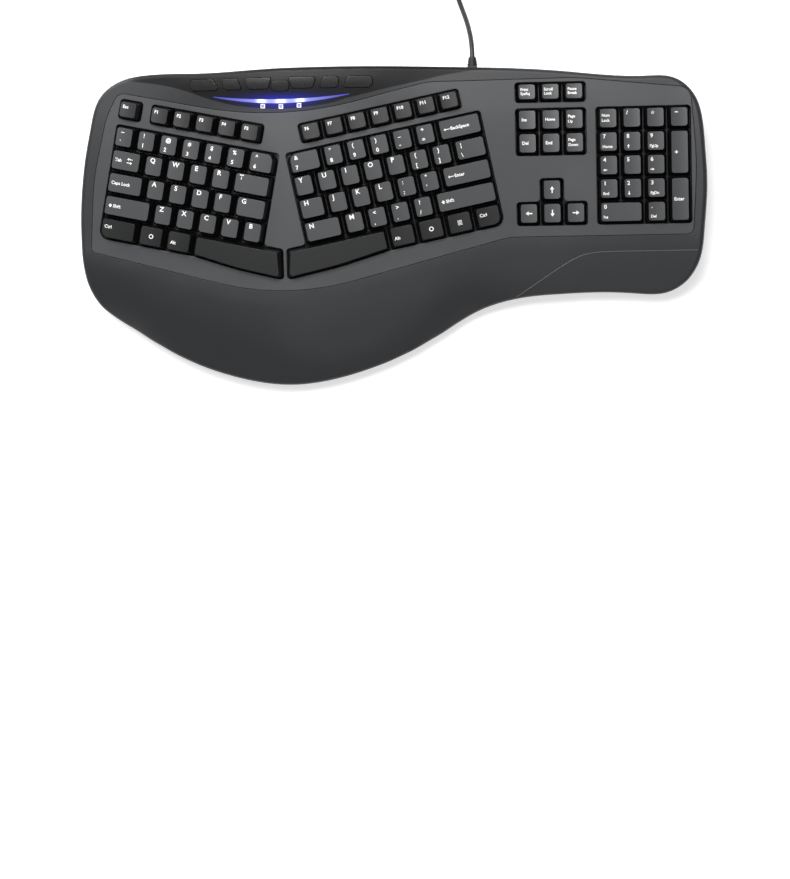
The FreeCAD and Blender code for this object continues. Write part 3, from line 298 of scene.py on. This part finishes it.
# Rubber: pads, foot tips, strain relief and the plug's grip.
soft_rubber = moulded("soft_rubber", "#141415", "#18181a", 0.5, 0.03, 0.62)
finish(soft_rubber, "rubber_pads", "foot_tip_left", "foot_tip_right", "strain_relief",
       "plug_grip", "lead_tie")

# Inside: translucent silicone domes, printed film, zinc-plated steel and green boards.
silicone = moulded("silicone_sheet", "#9a9c9b", "#a5a7a6", 1.5, 0.02, 0.45)
finish(silicone, "dome_sheets", "media_mat")
film = moulded("polyester_film", "#b9c2bd", "#c2c9c4", 2.0, 0.01, 0.25)
finish(film, "membranes")
solder_mask = moulded("solder_mask", "#1d4a2a", "#225231", 1.0, 0.02, 0.35)
finish(solder_mask, "media_board", "light_board", "controller_board")
finish(lead_jacket, "lead_inside")


STREAK_SCALE = (200, 4000, 4000)     # streaks of 5 mm along X, a quarter of one across


def zinc_plate():
    """Zinc-plated steel: bluish grey metal with a faint drawn streak."""
    material, tree = blank_material("zinc_plated_steel")
    run = add(tree, "ShaderNodeMapping", {"Vector": object_place(tree), "Scale": STREAK_SCALE})
    streak = add(tree, "ShaderNodeTexNoise", {"Vector": run.outputs["Vector"], "Scale": 1.0})
    rough = remap(tree, streak.outputs["Fac"], 0.0, 1.0, 0.22, 0.38)
    surface(tree, Base_Color=linear("#c4c8cc"), Metallic=1.0, Roughness=rough)
    return material


steel = zinc_plate()
finish(steel, "backing_plates", "case_screws", "plug_shell")


# Light bar: a blue-lit acrylic crescent with a white-hot spot over each of its three
# lamps, fading to deep violet at its points.
LAMP_OFFSET = 16 * MM
GLOW_MM, SPOT_MM = 34, 3.6           # width of the bar's glow and of the lamps' spots
GLOW_SHARE, SPOT_SHARE = 0.45, 0.75
DIM = 0.4                            # the emission where no lamp reaches, as a share
bar_low, bar_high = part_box("light_bar")
bar_middle = (bar_low.x + bar_high.x) / 2


def fade(tree, square):
    """A bell: one where the squared distance is nothing, dying away from there."""
    return maths(tree, "EXPONENT", maths(tree, "SUBTRACT", 0, square))


def lit_acrylic(name, spots, edge, core, strength):
    """Clear plastic with a glow round the bar's middle and a spot over each place named."""
    material, tree = blank_material(name)
    across = add(tree, "ShaderNodeSeparateXYZ", {"Vector": object_place(tree)}).outputs["X"]
    total = 0
    for spot, width, most in [(bar_middle, GLOW_MM, GLOW_SHARE),
                              *[(spot, SPOT_MM, SPOT_SHARE) for spot in spots]]:
        far = maths(tree, "DIVIDE", maths(tree, "SUBTRACT", across, spot), width * MM)
        glow = maths(tree, "MULTIPLY", fade(tree, maths(tree, "POWER", far, 2)), most)
        total = maths(tree, "ADD", total, glow)
    surface(tree, Base_Color=linear("#20264a"), Roughness=0.2, IOR=ACRYLIC_IOR,
            Emission_Color=mixed_tone(tree, total, linear(edge), linear(core)),
            Emission_Strength=remap(tree, total, 0.0, 1.0, DIM * strength, strength))
    return material


blue_bar = lit_acrylic("lit_blue_acrylic",
                       [bar_middle - LAMP_OFFSET, bar_middle, bar_middle + LAMP_OFFSET],
                       "#4a4ad8", "#e6e9ff", 1.9)
finish(blue_bar, "light_bar")
BAR_EDGE = 1.5 * MM        # from the bar's front to the middle of its line
SPILL_HALF = 0.42          # the spill's half width, as a share of the bar's


def spill(material, reach_mm, strength):
    """Blue light that the bar throws on the plastic beside it, dying away from its arc."""
    tree, skin, place_x, place_y = reopened(material)
    square = maths(tree, "POWER", maths(tree, "SUBTRACT", place_x, bar_middle), 2)
    tip = (bar_high.x - bar_low.x) / 2
    rise = (bar_high.y - bar_low.y - BAR_EDGE) / tip ** 2
    line = maths(tree, "MULTIPLY_ADD", square, rise, bar_low.y + BAR_EDGE)
    gap = maths(tree, "SUBTRACT", place_y, line)
    near = maths(tree, "POWER", maths(tree, "MULTIPLY", gap, 1 / (reach_mm * MM)), 2)
    along = maths(tree, "MULTIPLY", square, (SPILL_HALF * tip) ** -2)
    glow = fade(tree, maths(tree, "ADD", near, along))
    skin.inputs["Emission Color"].default_value = linear("#2b34ff")
    tree.links.new(maths(tree, "MULTIPLY", glow, strength), skin.inputs["Emission Strength"])


spill(charcoal_satin, 4.5, 0.5)
spill(spark_eroded, 7, 0.15)
lens_white = lit_acrylic("lit_white_lens", [], "#6f74c8", "#e4e8ff", 1.6)
finish(lens_white, "indicator_lenses")


# Keys: ABS caps with a satin top that is rubbed smoother in the middle; their steep sides are
# painted in shade, near black. The bottom row and the space bars are a shade darker.
CAP_EDGE, CAP_GRAIN, CAP_DEPTH = 0.35, 0.5, 0.02      # millimetres
SIDE_SLOPE, TOP_SLOPE = 0.75, 0.93                    # upward share of the face's normal


def cap_plastic(name, top, side, roughness):
    material, tree = blank_material(name)
    up = add(tree, "ShaderNodeSeparateXYZ",
             {"Vector": add(tree, "ShaderNodeNewGeometry", {}).outputs["True Normal"]})
    # Painted shade: faces that slope away from the top take the dark side colour.
    unshaded_share = remap(tree, up.outputs["Z"], SIDE_SLOPE, TOP_SLOPE)
    tone = mixed_tone(tree, unshaded_share, linear(side), linear(top))
    grain = noise(tree, object_place(tree), CAP_GRAIN, Detail=2.0)
    edge = add(tree, "ShaderNodeBevel", {"Radius": CAP_EDGE * MM})
    bump = add(tree, "ShaderNodeBump", {"Height": grain, "Strength": 0.35,
                                        "Distance": CAP_DEPTH * MM,
                                        "Normal": edge.outputs["Normal"]})
    surface(tree, Base_Color=tone, Roughness=roughness, IOR=ABS_IOR,
            Normal=bump.outputs["Normal"])
    return material


# Each cap's second colour is the painted shade on its sides.
satin_cap = cap_plastic("satin_key_abs", "#434446", "#0d0d0e", 0.33)
dark_cap = cap_plastic("dark_key_abs", "#131415", "#0b0b0c", 0.38)
middle_cap = cap_plastic("function_key_abs", "#29292b", "#0b0b0c", 0.37)
DARK_KEYS = ["keys_ctrl_to_alt_left", "keys_alt_to_ctrl_right", "key_space_left",
             "key_space_right"]
MIDDLE_KEYS = ["key_escape", "keys_f1_f5", "keys_f6_f12"]
key_names = [name for name in nodes if name.startswith(("key_", "keys_"))
             and not name.startswith("key_plate")]
finish(satin_cap, *[name for name in key_names if name not in DARK_KEYS + MIDDLE_KEYS])
finish(dark_cap, *DARK_KEYS)
finish(middle_cap, *MIDDLE_KEYS)


# Legends: white pad print under a clear coat, set from each cap's own top face.
white_print = moulded("white_pad_print", "#e9e9e6", "#f1f1ee", 0.6, 0.004, 0.4)
SPLAY, TENT, SLOPE, PAD_SLOPE = (math.radians(a) for a in (11.6, 4.6, 4.6, 1.8))
DISH, LIFT = 0.5 * MM, 0.05 * MM
MERGE = 0.002 * MM         # vertices of one solid's faces lie this close
RIM_DEPTH = 0.7 * MM       # the cap's finger area lies within this of its highest point
ROW_STEP = 10 * MM         # rows are further apart than this


def block_turn(side):
    """Each hand's rows turn, fall outwards and rise to the back; the pad only rises."""
    if not side:
        return stand @ Matrix.Rotation(PAD_SLOPE, 3, "X")
    return (stand @ Matrix.Rotation(side * SPLAY, 3, "Z") @ Matrix.Rotation(side * TENT, 3, "Y")
            @ Matrix.Rotation(SLOPE, 3, "X"))


def cap_tops(name, turn):
    """Left, right, front, back and level of each cap's finger area, in rows from the back."""
    shape = bmesh.new()
    shape.from_mesh(nodes[name].data)
    bmesh.ops.remove_doubles(shape, verts=shape.verts, dist=MERGE)
    bmesh.ops.transform(shape, matrix=turn.transposed().to_4x4(), verts=shape.verts)
    left = set(shape.verts)
    tops = []
    while left:
        pile, island = [left.pop()], []
        while pile:
            vertex = pile.pop()
            island.append(vertex.co)
            for edge in vertex.link_edges:
                other = edge.other_vert(vertex)
                if other in left:
                    left.remove(other)
                    pile.append(other)
        level = max(p.z for p in island)
        rim = [p for p in island if p.z > level - RIM_DEPTH]
        tops.append((min(p.x for p in rim), max(p.x for p in rim),
                     min(p.y for p in rim), max(p.y for p in rim), level))
    shape.free()
    return sorted(tops, key=lambda top: (-round(top[3] / ROW_STEP), top[0]))


# Signs are lists of outlines in millimetres, each round its own middle.
def arrow(length, head, shaft, quarter=0):
    """An arrow turned to the left by quarters from pointing right."""
    a, b, c = length / 2, head / 2, shaft / 2
    neck = a - head * 0.7
    corners = [(-a, -c), (neck, -c), (neck, -b), (a, 0), (neck, b), (neck, c), (-a, c)]
    for _ in range(quarter):
        corners = [(-y, x) for x, y in corners]
    return [corners]


def circle(radius, sides=32):
    return [(radius * math.cos(a * math.tau / sides), radius * math.sin(a * math.tau / sides))
            for a in range(sides + 1)]


def hoop(outer, inner):
    """A closed band between two outlines that have the same number of corners."""
    return [[a, b, d, c] for a, b, c, d in zip(outer, outer[1:], inner, inner[1:])]


def frame_of(w, h, line):
    """A frame with these half sizes and this width of line."""
    outer = [(-w, -h), (w, -h), (w, h), (-w, h), (-w, -h)]
    return hoop(outer, [(x - math.copysign(line, x), y - math.copysign(line, y))
                        for x, y in outer])


RING = hoop(circle(1.9), circle(1.2))
LIST = frame_of(1.7, 1.9, 0.35) + [[(-1, y), (1, y), (1, y + 0.45), (-1, y + 0.45)]
                                   for y in (-1.1, -0.2, 0.7)]
HOUSE = [[(-0.8, -1.2), (0.8, -1.2), (0.8, 0), (1.7, 0), (0, 1.6), (-1.7, 0), (-0.8, 0)]]
DASH = [[(-1.3, -0.4), (1.3, -0.4), (1.3, 0.4), (-1.3, 0.4)]]
PLUS = DASH + [[(-0.4, 0.4), (0.4, 0.4), (0.4, 1.3), (-0.4, 1.3)],
               [(-0.4, -1.3), (0.4, -1.3), (0.4, -0.4), (-0.4, -0.4)]]
STAR = [[(0, 0)] + [(1.3 * math.cos(a + b), 1.3 * math.sin(a + b)) for b in (-0.3, 0.3)]
        for a in (math.radians(90 + 72 * i) for i in range(5))]
BIG, MEDIUM, SMALL, TINY = 5.3, 4.5, 3.7, 3.2
BOLD = 0.028               # outlines are grown by this share of the size
EDGE = 2.6                 # print starts this far in from a cap's left edge


# A print is its text or outlines, the text's size or 0, its start from the cap's left edge
# in millimetres or None for the middle, and its rise from the middle as a share of the cap.
def letter(text):
    return [(text, BIG, EDGE + 0.4, 0.30)]


def pair(over, under):
    return [(over, MEDIUM, EDGE + 0.9, 0.27), (under, MEDIUM, EDGE + 0.4, -0.27)]


def word(text, size=SMALL, rise=0.0):
    return [(text, size, EDGE - 0.6, rise)]


def lines(over, under, size=TINY):
    return [(over, size, EDGE - 1.2, 0.15), (under, size, EDGE - 1.2, -0.13)]


def number(digit, under=None):
    """A digit over a word, over an arrow of so many quarter turns, or alone."""
    prints = [(digit, MEDIUM, EDGE - 0.4, 0.28)]
    if isinstance(under, str):
        prints.append((under, TINY, EDGE - 0.9, -0.28))
    elif under is not None:
        prints.append((arrow(3.2, 2.2, 0.7, under), 0, EDGE + 1.0, -0.27))
    return prints


def sign(outlines, x=None, rise=0.0):
    return [(outlines, 0, x, rise)]


TAB_ARROWS = [(arrow(4.6, 2.4, 0.6), 0, 14.5, -0.07), (arrow(4.6, 2.4, 0.6, 2), 0, 14.5, 0.13)]
BACK_ARROW = (arrow(5, 2.2, 0.6, 2), 0, 5.2, 0)
SHIFT = [(HOUSE, 0, 4.2, 0), ("Shift", SMALL, 6.4, 0)]

# The block's side (left hand -1, right hand 1, number pad 0), the CAD node and its caps'
# prints, in rows from the back and from the left in each row.
LEGENDS = [
    (-1, "key_escape", [word("Esc", SMALL, 0.2)]),
    (-1, "keys_f1_f5", [word("F%d" % i, SMALL, 0.22) for i in range(1, 6)]),
    (-1, "keys_number_left", [pair(*p) for p in ("~`", "!1", "@2", "#3", "$4", "%5", "^6")]),
    (-1, "key_tab", [word("Tab") + TAB_ARROWS]),
    (-1, "keys_q_to_t", [letter(c) for c in "QWERT"]),
    (-1, "key_caps_lock", [word("Caps Lock")]),
    (-1, "keys_a_to_g", [letter(c) for c in "ASDFG"]),
    (-1, "key_shift_left", [SHIFT]),
    (-1, "keys_z_to_b", [letter(c) for c in "ZXCVB"]),
    (-1, "keys_ctrl_to_alt_left", [word("Ctrl", SMALL, 0.1), sign(RING),
                                   word("Alt", SMALL, -0.1)]),
    (1, "keys_f6_f12", [word("F%d" % i, SMALL, 0.22) for i in range(6, 13)]),
    (1, "keys_number_right", [pair(*p) for p in ("&7", "*8", "(9", ")0", "_-", "+=")]),
    (1, "key_backspace", [[BACK_ARROW, ("BackSpace", SMALL, 8.2, 0)]]),
    (1, "keys_y_to_backslash", [letter(c) for c in "YUIOP"]
     + [pair(*p) for p in ("{[", "}]", "|\\")]),
    (1, "keys_h_to_quote", [letter(c) for c in "HJKL"] + [pair(*p) for p in (":;", "\"'")]),
    (1, "key_enter", [[BACK_ARROW, ("Enter", SMALL, 8.2, 0)]]),
    (1, "keys_n_to_slash", [letter(c) for c in "NM"] + [pair(*p) for p in ("<,", ">.", "?/")]),
    (1, "key_shift_right", [SHIFT]),
    (1, "keys_alt_to_ctrl_right", [word("Alt", SMALL, -0.1), sign(RING),
                                   sign(LIST), word("Ctrl", SMALL, 0.1)]),
    (0, "keys_print_to_pause", [lines("Print", "SysRq"), lines("Scroll", "Lock"),
                                lines("Pause", "Break")]),
    (0, "keys_navigation", [word("Ins"), word("Home", TINY), lines("Page", "Up"), word("Del"),
                            word("End"), lines("Page", "Down")]),
    (0, "keys_arrows", [sign(arrow(5.4, 3.4, 0.9, q)) for q in (1, 2, 3, 0)]),
    (0, "keys_numpad_top", [lines("Num", "Lock"), number("/"), sign(STAR, 4.4, 0.26),
                            sign(DASH, 4.4, 0.26)]),
    (0, "keys_numpad_digits", [number("7", "Home"), number("8", 1), number("9", "PgUp"),
                               number("4", 2), number("5"), number("6", 0),
                               number("1", "End"), number("2", 3), number("3", "PgDn")]),
    (0, "key_numpad_zero", [number("0", "Ins")]),
    (0, "key_numpad_point", [number(".", "Del")]),
    (0, "key_numpad_plus", [sign(PLUS, 4.0)]),
    (0, "key_numpad_enter", [[("Enter", SMALL, 1.6, 0.0)]]),
]


def printed(text, size, x, y):
    """Flat outlines of a word, starting at x and centred on y, in millimetres."""
    curve = bpy.data.curves.new("print", "FONT")
    curve.body = text
    curve.size = size
    curve.offset = BOLD * size
    curve.align_y = "CENTER"
    curve.resolution_u = 3
    letters = bpy.data.objects.new("print", curve)
    mesh = bpy.data.meshes.new_from_object(letters)
    for vertex in mesh.vertices:
        vertex.co.x += x
        vertex.co.y += y
    bpy.data.objects.remove(letters)
    bpy.data.curves.remove(curve)
    return mesh


def legend(name, side, prints):
    """Lays each cap's prints on its dish and lets them ride with the cap."""
    turn = block_turn(side)
    shape = bmesh.new()
    for (left, right, front, back, level), marks in zip(cap_tops(name, turn), prints):
        first = len(shape.verts)
        middle, half = (left + right) / 2, (right - left) / 2
        for what, size, x, rise in marks:
            y = (back - front) * rise / MM
            if size:
                mesh = printed(what, size, x, y)
                shape.from_mesh(mesh)
                bpy.data.meshes.remove(mesh)
            else:
                x = half / MM if x is None else x
                for corners in what:
                    shape.faces.new([shape.verts.new((x + a, y + b, 0)) for a, b in corners])
            shape.verts.ensure_lookup_table()
        for vertex in shape.verts[first:]:
            x = left + vertex.co.x * MM
            bowl = DISH * (1 - min(1, abs((x - middle) / half)) ** 2)
            local = Vector((x, (front + back) / 2 + vertex.co.y * MM, level - bowl + LIFT))
            vertex.co = turn @ local
    mesh = bpy.data.meshes.new("legend_" + name)
    shape.to_mesh(mesh)
    shape.free()
    mesh.materials.append(white_print)
    piece = linked("legend_" + name, mesh)
    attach(piece, name)


for side, name, prints in LEGENDS:
    legend(name, side, prints)

# Indicators: a small white frame is printed round each lens, on the top case.
LENS_STEP = 14.8 * MM
marks = bmesh.new()
lens_mesh = nodes["indicator_lenses"].data
lens_low, lens_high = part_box("indicator_lenses")
for step in (-1, 0, 1):
    x = (lens_low.x + lens_high.x) / 2 + step * LENS_STEP
    own = [v.co for v in lens_mesh.vertices if abs(v.co.x - x) < LENS_STEP / 2]
    y = (min(p.y for p in own) + max(p.y for p in own)) / 2
    z = max(p.z for p in own) + LIFT
    for corners in frame_of(1.75, 1.75, 0.5):
        marks.faces.new([marks.verts.new((x + a * MM, y + b * MM, z)) for a, b in corners])
icon_mesh = bpy.data.meshes.new("indicator_frames")
marks.to_mesh(icon_mesh)
marks.free()
icon_mesh.materials.append(white_print)
icons = linked("indicator_frames", icon_mesh)
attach(icons, "case")

# Palm rest crease: a fine bead along the moulding's crease, level across the pad's front and
# turning down to the front edge, laid on the palm surface. Its lighter grey is a painted
# highlight.
BEAD_Y, BEAD_TURN, BEAD_SLOPE, BEAD_BEND = -27.8, 156.0, 0.66, 6.0
BEAD_FROM, BEAD_TO, BEAD_STEP = 90, 252, 4
BEAD_RADIUS = 0.25 * MM
ABOVE_CASE = 150
skin_faces = BVHTree.FromPolygons([v.co for v in nodes["top_case"].data.vertices],
                                  [p.vertices for p in nodes["top_case"].data.polygons])
crease_curve = bpy.data.curves.new("palm_crease", "CURVE")
crease_curve.dimensions = "3D"
crease_points = []
for x in range(BEAD_FROM, BEAD_TO, BEAD_STEP):
    past_turn = BEAD_BEND * math.log1p(math.exp((BEAD_TURN - x) / BEAD_BEND))
    above_palm = Vector((x, BEAD_Y - BEAD_SLOPE * past_turn, ABOVE_CASE)) * MM
    hit = skin_faces.ray_cast(above_palm, Vector((0, 0, -1)))[0]
    if hit:
        crease_points.append(hit)
crease = crease_curve.splines.new("POLY")
crease.points.add(len(crease_points) - 1)
for point, place in zip(crease.points, crease_points):
    point.co = (*place, 1)
crease_curve.bevel_depth = BEAD_RADIUS
crease_curve.bevel_resolution = 2
crease_bead = linked("palm_crease", crease_curve)
# Painted highlight: the bead is lighter than the palm rest, as the crease's edge catching
# light.
bead_highlight = moulded("bead_painted_highlight_abs", "#58595b", "#606163", 0.6, 0.01, 0.4)
crease_curve.materials.append(bead_highlight)
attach(crease_bead, "case")

# Desk: a white sweep that keeps the keyboard's soft shadow.
DESK = 6                   # half its side, in metres
DESK_GLOW = 0.55           # added where the camera or a reflection sees it
desk_mesh = bpy.data.meshes.new("white_desk")
desk_mesh.from_pydata([(-DESK, -DESK, 0), (DESK, -DESK, 0), (DESK, DESK, 0), (-DESK, DESK, 0)],
                      [], [(0, 1, 2, 3)])
desk = linked("white_desk", desk_mesh)
sweep, tree = blank_material("white_sweep")
rays = add(tree, "ShaderNodeLightPath", {})
seen = maths(tree, "MAXIMUM", rays.outputs["Is Camera Ray"], rays.outputs["Is Glossy Ray"])
matte = add(tree, "ShaderNodeBsdfDiffuse", {"Color": linear("#e8e8e8")})
bright = add(tree, "ShaderNodeEmission", {"Color": (1, 1, 1, 1), "Strength": DESK_GLOW})
both = add(tree, "ShaderNodeAddShader", {0: matte.outputs[0], 1: bright.outputs[0]})
mixed = add(tree, "ShaderNodeMixShader", {0: seen, 1: matte.outputs[0], 2: both.outputs[0]})
add(tree, "ShaderNodeOutputMaterial", {"Surface": mixed.outputs[0]})
desk_mesh.materials.append(sweep)

# Light: a faint white tent round the table, a broad soft box over its rear, a lower one at
# its rear left and a weak one in front.
world = bpy.data.worlds.new("tent")
world.use_nodes = True
bpy.context.scene.world = world
tent = world.node_tree.nodes["Background"]
tent.inputs["Color"].default_value = (1, 1, 1, 1)
tent.inputs["Strength"].default_value = 0.2


def soft_box(name, place, size, power):
    """A rectangular lamp that looks at the origin."""
    light = bpy.data.lights.new(name, "AREA")
    light.shape = "RECTANGLE"
    light.size, light.size_y = size
    light.energy = power
    box = linked(name, light)
    box.location = place
    box.rotation_euler = (-Vector(place)).to_track_quat("-Z", "Y").to_euler()


soft_box("rear_box", (-0.12, 0.4, 1.0), (0.7, 0.5), 14)
soft_box("low_rear_box", (-0.9, 0.95, 0.55), (0.9, 0.4), 8)
soft_box("front_box", (0.1, -0.9, 1.2), (0.9, 0.5), 2)

bpy.context.scene.view_settings.view_transform = "Standard"
